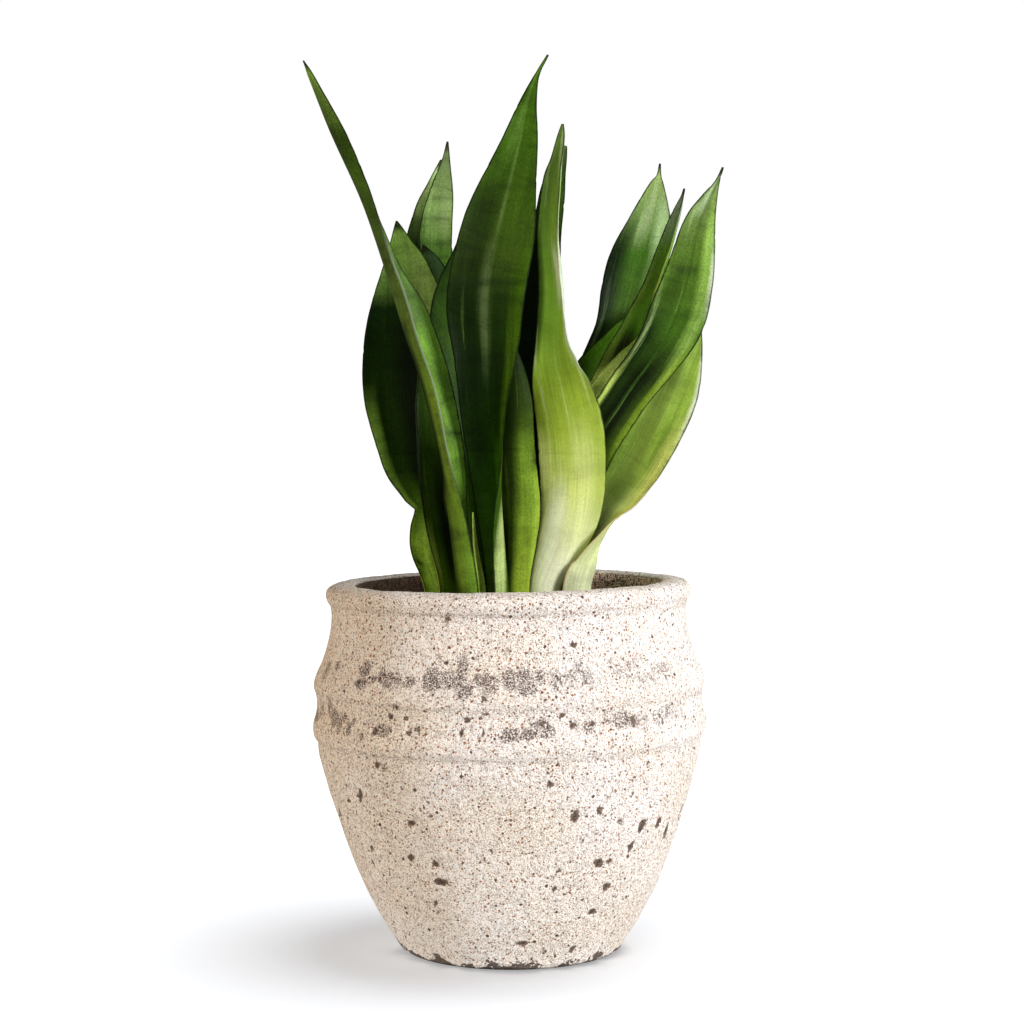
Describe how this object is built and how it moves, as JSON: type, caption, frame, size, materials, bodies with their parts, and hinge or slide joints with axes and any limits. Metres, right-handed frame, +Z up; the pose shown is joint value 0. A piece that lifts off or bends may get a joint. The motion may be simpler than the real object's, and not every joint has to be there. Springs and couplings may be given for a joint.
{
  "type": "potted snake plant",
  "caption": "Snake plant with upright sword-shaped leaves, pale green with thin dark margins, growing in soil in a rough rounded stoneware pot with a thick lip.",
  "frame": {"origin": "middle of the pot's foot, on the surface that the pot stands on", "axes": "+Z up, +X to the right and -Y towards the viewer in the picture"},
  "size_m": [0.257, 0.2464, 0.5543],
  "materials": {
    "pot_stoneware": "matte",
    "potting_soil": "matte",
    "leaf_dark": "satin",
    "leaf_green": "satin",
    "leaf_bright": "satin",
    "leaf_pale": "satin"
  },
  "bodies": {
    "root": {"pot": "pot_stoneware", "soil": "potting_soil", "leaf_left_tall": "leaf_green", "leaf_shoot": "leaf_pale", "leaf_left_broad": "leaf_dark", "leaf_left_inner": "leaf_dark", "leaf_left_small": "leaf_dark", "leaf_back_left_front": "leaf_green", "leaf_back_left_rear": "leaf_green", "leaf_middle_rear": "leaf_dark", "leaf_middle_tall": "leaf_dark", "leaf_middle_short": "leaf_green", "leaf_front_bright": "leaf_pale", "leaf_middle_shaded": "leaf_dark", "leaf_right_tall": "leaf_green", "leaf_right_low": "leaf_bright", "leaf_right_folded": "leaf_bright", "leaf_right_short": "leaf_dark", "leaf_right_rear": "leaf_green"}
  },
  "joints": []
}
